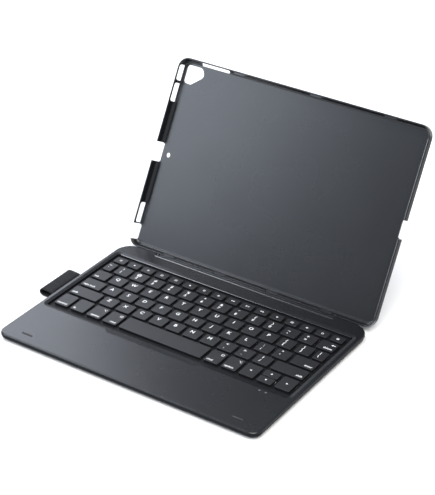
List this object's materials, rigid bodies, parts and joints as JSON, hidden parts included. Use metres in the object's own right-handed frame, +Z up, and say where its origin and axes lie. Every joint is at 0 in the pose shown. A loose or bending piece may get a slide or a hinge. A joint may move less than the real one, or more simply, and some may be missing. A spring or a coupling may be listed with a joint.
{
  "type": "tablet keyboard case",
  "caption": "Slim keyboard base with sprung keys and a pen loop, joined by a friction hinge to a clip-in tablet tray that folds shut over the keys.",
  "frame": {"origin": "centre of the base's underside, between the feet", "axes": "+X typist's right, +Y back towards the hinge, +Z up"},
  "size_m": [0.2699, 0.2771, 0.1625],
  "materials": {
    "case_plastic": "satin moulded",
    "key_plastic": "fine matte",
    "frame_plastic": "satin",
    "silicone": "translucent milky",
    "film": "clear film with printed tracks",
    "plate_metal": "rolled",
    "battery_foil": "foil pouch",
    "board": "solder resist",
    "shield_metal": "tinned",
    "switch_plastic": "matte",
    "lens": "clear diffusing",
    "rubber": "matte",
    "steel": "blackened",
    "hinge_metal": "die cast",
    "magnet": "plated",
    "strap": "woven elastic"
  },
  "bodies": {
    "base": {"bottom_cover": "case_plastic", "deck_cover": "case_plastic", "key_frame": "frame_plastic", "dome_sheet": "silicone", "membrane": "film", "support_plate": "plate_metal", "battery": "battery_foil", "control_board": "board", "radio_module": "shield_metal", "charge_board": "board", "charging_socket": "shield_metal", "switch_body": "switch_plastic", "indicator_lenses": "lens", "palm_bumpers": "rubber", "rubber_feet": "rubber", "case_screws": "steel", "hinge_block_left": "hinge_metal", "hinge_block_right": "hinge_metal", "friction_sleeve_left": "steel", "friction_sleeve_right": "steel", "hinge_screws": "steel", "wake_magnets": "magnet", "pen_loop": "strap"},
    "lid": {"lid_shell": "case_plastic", "hinge_bar": "frame_plastic", "hinge_pin_left": "steel", "hinge_pin_right": "steel", "lid_screws": "steel"},
    "switch_knob": {"switch_knob": "switch_plastic"},
    "backtick_key": {"backtick_key": "key_plastic"},
    "backspace_key": {"backspace_key": "key_plastic"},
    "tab_key": {"tab_key": "key_plastic"},
    "backslash_key": {"backslash_key": "key_plastic"},
    "caps_key": {"caps_key": "key_plastic"},
    "enter_key": {"enter_key": "key_plastic"},
    "left_shift": {"left_shift": "key_plastic"},
    "right_shift": {"right_shift": "key_plastic"},
    "corner_key": {"corner_key": "key_plastic"},
    "control_key": {"control_key": "key_plastic"},
    "option_key": {"option_key": "key_plastic"},
    "command_key": {"command_key": "key_plastic"},
    "space_bar": {"space_bar": "key_plastic"},
    "right_command_key": {"right_command_key": "key_plastic"},
    "right_option_key": {"right_option_key": "key_plastic"},
    "left_arrow": {"left_arrow": "key_plastic"},
    "up_arrow": {"up_arrow": "key_plastic"},
    "down_arrow": {"down_arrow": "key_plastic"},
    "right_arrow": {"right_arrow": "key_plastic"},
    "function_keys_left": {"function_keys_left": "key_plastic"},
    "function_keys_right": {"function_keys_right": "key_plastic"},
    "number_keys_left": {"number_keys_left": "key_plastic"},
    "number_keys_right": {"number_keys_right": "key_plastic"},
    "upper_keys_left": {"upper_keys_left": "key_plastic"},
    "upper_keys_right": {"upper_keys_right": "key_plastic"},
    "home_keys_left": {"home_keys_left": "key_plastic"},
    "home_keys_right": {"home_keys_right": "key_plastic"},
    "lower_keys_left": {"lower_keys_left": "key_plastic"},
    "lower_keys_right": {"lower_keys_right": "key_plastic"}
  },
  "joints": [
    {"name": "lid_hinge", "type": "hinge", "parent": "base", "child": "lid", "pos_m": [0, 0.08885, 0.003], "axis": [-1, 0, 0], "range_deg": [-118, 10]},
    {"name": "switch_slide", "type": "slide", "parent": "base", "child": "switch_knob", "axis": [0, 1, 0], "range_m": [0, 0.002]},
    {"name": "backtick_key_press", "type": "slide", "parent": "base", "child": "backtick_key", "axis": [0, 0, -1], "range_m": [0, 0.0012], "stiffness_N_per_m": 400, "deforming": ["dome_sheet"]},
    {"name": "backspace_key_press", "type": "slide", "parent": "base", "child": "backspace_key", "axis": [0, 0, -1], "range_m": [0, 0.0012], "stiffness_N_per_m": 400, "deforming": ["dome_sheet"]},
    {"name": "tab_key_press", "type": "slide", "parent": "base", "child": "tab_key", "axis": [0, 0, -1], "range_m": [0, 0.0012], "stiffness_N_per_m": 400, "deforming": ["dome_sheet"]},
    {"name": "backslash_key_press", "type": "slide", "parent": "base", "child": "backslash_key", "axis": [0, 0, -1], "range_m": [0, 0.0012], "stiffness_N_per_m": 400, "deforming": ["dome_sheet"]},
    {"name": "caps_key_press", "type": "slide", "parent": "base", "child": "caps_key", "axis": [0, 0, -1], "range_m": [0, 0.0012], "stiffness_N_per_m": 400, "deforming": ["dome_sheet"]},
    {"name": "enter_key_press", "type": "slide", "parent": "base", "child": "enter_key", "axis": [0, 0, -1], "range_m": [0, 0.0012], "stiffness_N_per_m": 400, "deforming": ["dome_sheet"]},
    {"name": "left_shift_press", "type": "slide", "parent": "base", "child": "left_shift", "axis": [0, 0, -1], "range_m": [0, 0.0012], "stiffness_N_per_m": 400, "deforming": ["dome_sheet"]},
    {"name": "right_shift_press", "type": "slide", "parent": "base", "child": "right_shift", "axis": [0, 0, -1], "range_m": [0, 0.0012], "stiffness_N_per_m": 400, "deforming": ["dome_sheet"]},
    {"name": "corner_key_press", "type": "slide", "parent": "base", "child": "corner_key", "axis": [0, 0, -1], "range_m": [0, 0.0012], "stiffness_N_per_m": 400, "deforming": ["dome_sheet"]},
    {"name": "control_key_press", "type": "slide", "parent": "base", "child": "control_key", "axis": [0, 0, -1], "range_m": [0, 0.0012], "stiffness_N_per_m": 400, "deforming": ["dome_sheet"]},
    {"name": "option_key_press", "type": "slide", "parent": "base", "child": "option_key", "axis": [0, 0, -1], "range_m": [0, 0.0012], "stiffness_N_per_m": 400, "deforming": ["dome_sheet"]},
    {"name": "command_key_press", "type": "slide", "parent": "base", "child": "command_key", "axis": [0, 0, -1], "range_m": [0, 0.0012], "stiffness_N_per_m": 400, "deforming": ["dome_sheet"]},
    {"name": "space_bar_press", "type": "slide", "parent": "base", "child": "space_bar", "axis": [0, 0, -1], "range_m": [0, 0.0012], "stiffness_N_per_m": 400, "deforming": ["dome_sheet"]},
    {"name": "right_command_key_press", "type": "slide", "parent": "base", "child": "right_command_key", "axis": [0, 0, -1], "range_m": [0, 0.0012], "stiffness_N_per_m": 400, "deforming": ["dome_sheet"]},
    {"name": "right_option_key_press", "type": "slide", "parent": "base", "child": "right_option_key", "axis": [0, 0, -1], "range_m": [0, 0.0012], "stiffness_N_per_m": 400, "deforming": ["dome_sheet"]},
    {"name": "left_arrow_press", "type": "slide", "parent": "base", "child": "left_arrow", "axis": [0, 0, -1], "range_m": [0, 0.0012], "stiffness_N_per_m": 400, "deforming": ["dome_sheet"]},
    {"name": "up_arrow_press", "type": "slide", "parent": "base", "child": "up_arrow", "axis": [0, 0, -1], "range_m": [0, 0.0012], "stiffness_N_per_m": 400, "deforming": ["dome_sheet"]},
    {"name": "down_arrow_press", "type": "slide", "parent": "base", "child": "down_arrow", "axis": [0, 0, -1], "range_m": [0, 0.0012], "stiffness_N_per_m": 400, "deforming": ["dome_sheet"]},
    {"name": "right_arrow_press", "type": "slide", "parent": "base", "child": "right_arrow", "axis": [0, 0, -1], "range_m": [0, 0.0012], "stiffness_N_per_m": 400, "deforming": ["dome_sheet"]},
    {"name": "function_keys_left_press", "type": "slide", "parent": "base", "child": "function_keys_left", "axis": [0, 0, -1], "range_m": [0, 0.0012], "stiffness_N_per_m": 400, "deforming": ["dome_sheet"]},
    {"name": "function_keys_right_press", "type": "slide", "parent": "base", "child": "function_keys_right", "axis": [0, 0, -1], "range_m": [0, 0.0012], "stiffness_N_per_m": 400, "deforming": ["dome_sheet"]},
    {"name": "number_keys_left_press", "type": "slide", "parent": "base", "child": "number_keys_left", "axis": [0, 0, -1], "range_m": [0, 0.0012], "stiffness_N_per_m": 400, "deforming": ["dome_sheet"]},
    {"name": "number_keys_right_press", "type": "slide", "parent": "base", "child": "number_keys_right", "axis": [0, 0, -1], "range_m": [0, 0.0012], "stiffness_N_per_m": 400, "deforming": ["dome_sheet"]},
    {"name": "upper_keys_left_press", "type": "slide", "parent": "base", "child": "upper_keys_left", "axis": [0, 0, -1], "range_m": [0, 0.0012], "stiffness_N_per_m": 400, "deforming": ["dome_sheet"]},
    {"name": "upper_keys_right_press", "type": "slide", "parent": "base", "child": "upper_keys_right", "axis": [0, 0, -1], "range_m": [0, 0.0012], "stiffness_N_per_m": 400, "deforming": ["dome_sheet"]},
    {"name": "home_keys_left_press", "type": "slide", "parent": "base", "child": "home_keys_left", "axis": [0, 0, -1], "range_m": [0, 0.0012], "stiffness_N_per_m": 400, "deforming": ["dome_sheet"]},
    {"name": "home_keys_right_press", "type": "slide", "parent": "base", "child": "home_keys_right", "axis": [0, 0, -1], "range_m": [0, 0.0012], "stiffness_N_per_m": 400, "deforming": ["dome_sheet"]},
    {"name": "lower_keys_left_press", "type": "slide", "parent": "base", "child": "lower_keys_left", "axis": [0, 0, -1], "range_m": [0, 0.0012], "stiffness_N_per_m": 400, "deforming": ["dome_sheet"]},
    {"name": "lower_keys_right_press", "type": "slide", "parent": "base", "child": "lower_keys_right", "axis": [0, 0, -1], "range_m": [0, 0.0012], "stiffness_N_per_m": 400, "deforming": ["dome_sheet"]}
  ]
}
